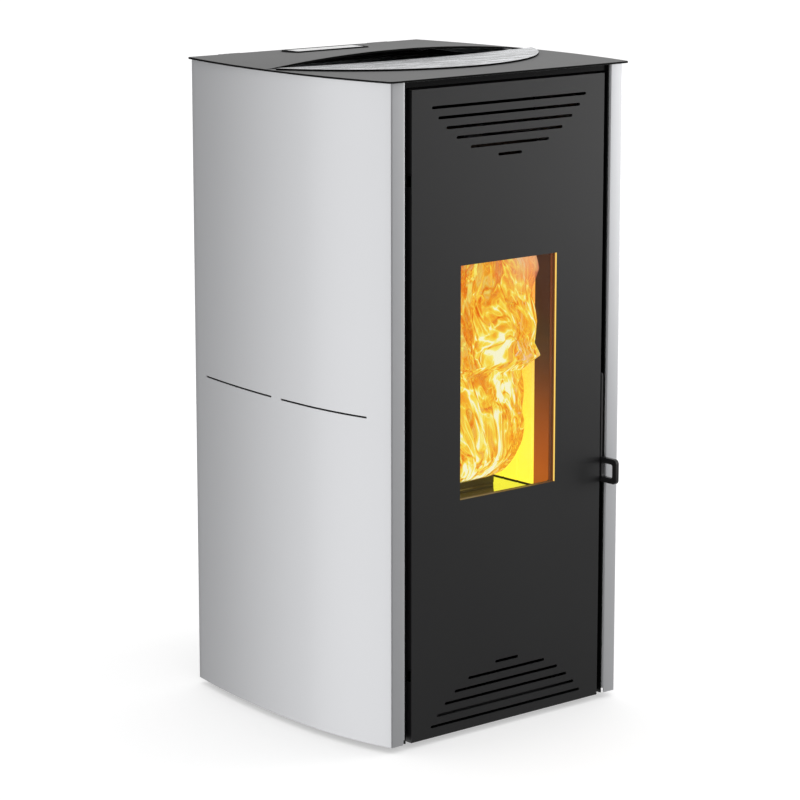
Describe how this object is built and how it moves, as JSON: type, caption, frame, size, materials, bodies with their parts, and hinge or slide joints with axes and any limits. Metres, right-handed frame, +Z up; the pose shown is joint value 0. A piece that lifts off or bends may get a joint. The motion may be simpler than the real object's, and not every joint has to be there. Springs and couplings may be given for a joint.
{
  "type": "pellet stove",
  "caption": "free-standing pellet stove with bowed silver sheet sides, full-height black door with a tall window, arched hopper lid and a steel air deflector on top",
  "frame": {"origin": "centre of the bounding box on the floor, under the stove", "axes": "+Z up, +Y from the door to the back with the flue, +X to the right of a person who faces the door"},
  "size_m": [0.5208, 0.57, 1.0146],
  "materials": {
    "silver_paint": "fine metallic silver powder coat, satin",
    "black_paint": "satin black powder coat",
    "grey_paint": "satin dark grey powder coat",
    "brushed_steel": "brushed steel",
    "bright_steel": "bright turned steel",
    "galvanised": "galvanised sheet, matt",
    "cast_iron": "heat-blackened casting",
    "fire_steel": "heat-resistant matt paint over steel",
    "firebrick": "rough pale fire lining, lit by the fire",
    "fire_glass": "clear fire glass with a smoke tint",
    "console_glass": "back-painted white gloss",
    "rope_seal": "woven dark fibre rope",
    "silicone": "matt silicone profile",
    "black_plastic": "fine textured black",
    "circuit_board": "green solder mask with dark components",
    "motor_can": "varnished laminations"
  },
  "bodies": {
    "body": {"side_panel_left": "silver_paint", "side_panel_right": "silver_paint", "front_frame": "black_paint", "rear_panel": "black_paint", "base_tray": "black_paint", "top_plate": "grey_paint", "deflector_plate": "brushed_steel", "lid_hinge_left": "black_paint", "lid_hinge_right": "black_paint", "console_housing": "black_plastic", "console_glass": "console_glass", "door_hinge_lower": "galvanised", "door_hinge_upper": "galvanised", "latch_keeper": "galvanised", "firebox_shell": "fire_steel", "fire_back_plate": "firebrick", "fire_side_plate_left": "firebrick", "fire_side_plate_right": "firebrick", "baffle_plate": "firebrick", "ash_pan": "galvanised", "igniter": "galvanised", "heat_exchanger": "fire_steel", "air_outlet_duct": "black_paint", "pellet_hopper": "galvanised", "hopper_grille": "galvanised", "hopper_seal": "silicone", "auger_tube": "galvanised", "pellet_chute": "galvanised", "auger_gearmotor": "galvanised", "exhaust_fan_housing": "galvanised", "exhaust_motor": "motor_can", "smoke_duct": "fire_steel", "flue_collar": "galvanised", "air_inlet_pipe": "galvanised", "room_blower_housing": "galvanised", "room_blower_motor": "motor_can", "control_board": "circuit_board", "pressure_switch": "black_plastic", "power_inlet": "black_plastic", "safety_thermostat": "black_plastic"},
    "door": {"door_panel": "black_paint", "door_glass": "fire_glass", "glass_seal": "rope_seal", "door_inner_frame": "cast_iron", "door_gasket": "rope_seal"},
    "handle": {"handle_lever": "black_paint", "latch_hook": "galvanised"},
    "lid": {"hopper_lid": "grey_paint"},
    "burn_pot": {"burn_pot": "cast_iron"},
    "auger_screw": {"auger_screw": "bright_steel"},
    "exhaust_impeller": {"exhaust_impeller": "galvanised"},
    "room_blower_rotor": {"room_blower_rotor": "galvanised"},
    "rocker_switch": {"rocker_switch": "black_plastic"},
    "reset_cap": {"reset_cap": "black_plastic"},
    "foot_front_left": {"levelling_foot_front_left": "black_plastic"},
    "foot_front_right": {"levelling_foot_front_right": "black_plastic"},
    "foot_rear_left": {"levelling_foot_rear_left": "black_plastic"},
    "foot_rear_right": {"levelling_foot_rear_right": "black_plastic"}
  },
  "joints": [
    {"name": "door_swing", "type": "hinge", "parent": "body", "child": "door", "pos_m": [-0.186, -0.242, 0.5], "axis": [0, 0, -1], "range_deg": [0, 110]},
    {"name": "handle_lift", "type": "hinge", "parent": "door", "child": "handle", "pos_m": [0.19, -0.242, 0.508], "axis": [-1, 0, 0], "range_deg": [0, 30]},
    {"name": "lid_lift", "type": "hinge", "parent": "body", "child": "lid", "pos_m": [0, 0.2295, 0.997], "axis": [-1, 0, 0], "range_deg": [0, 75]},
    {"name": "burn_pot_lift", "type": "slide", "parent": "body", "child": "burn_pot", "axis": [0, 0, 1], "range_m": [0, 0.06]},
    {"name": "auger_turn", "type": "hinge", "parent": "body", "child": "auger_screw", "pos_m": [0, 0.143, 0.46], "axis": [0, -0.7071, 0.7071], "continuous": true},
    {"name": "exhaust_impeller_turn", "type": "hinge", "parent": "body", "child": "exhaust_impeller", "pos_m": [0.1505, 0.118, 0.2], "axis": [1, 0, 0], "continuous": true},
    {"name": "room_blower_turn", "type": "hinge", "parent": "body", "child": "room_blower_rotor", "pos_m": [0, -0.102, 0.112], "axis": [1, 0, 0], "continuous": true},
    {"name": "rocker_tilt", "type": "hinge", "parent": "body", "child": "rocker_switch", "pos_m": [-0.17, 0.2255, 0.136], "axis": [-1, 0, 0], "range_deg": [0, 10]},
    {"name": "reset_cap_turn", "type": "hinge", "parent": "body", "child": "reset_cap", "pos_m": [-0.17, 0.2285, 0.2], "axis": [0, 1, 0], "continuous": true},
    {"name": "foot_front_left_turn", "type": "hinge", "parent": "body", "child": "foot_front_left", "pos_m": [-0.17, -0.182, 0.005], "axis": [0, 0, 1], "continuous": true},
    {"name": "foot_front_right_turn", "type": "hinge", "parent": "body", "child": "foot_front_right", "pos_m": [0.17, -0.182, 0.005], "axis": [0, 0, 1], "continuous": true},
    {"name": "foot_rear_left_turn", "type": "hinge", "parent": "body", "child": "foot_rear_left", "pos_m": [-0.17, 0.178, 0.005], "axis": [0, 0, 1], "continuous": true},
    {"name": "foot_rear_right_turn", "type": "hinge", "parent": "body", "child": "foot_rear_right", "pos_m": [0.17, 0.178, 0.005], "axis": [0, 0, 1], "continuous": true}
  ]
}
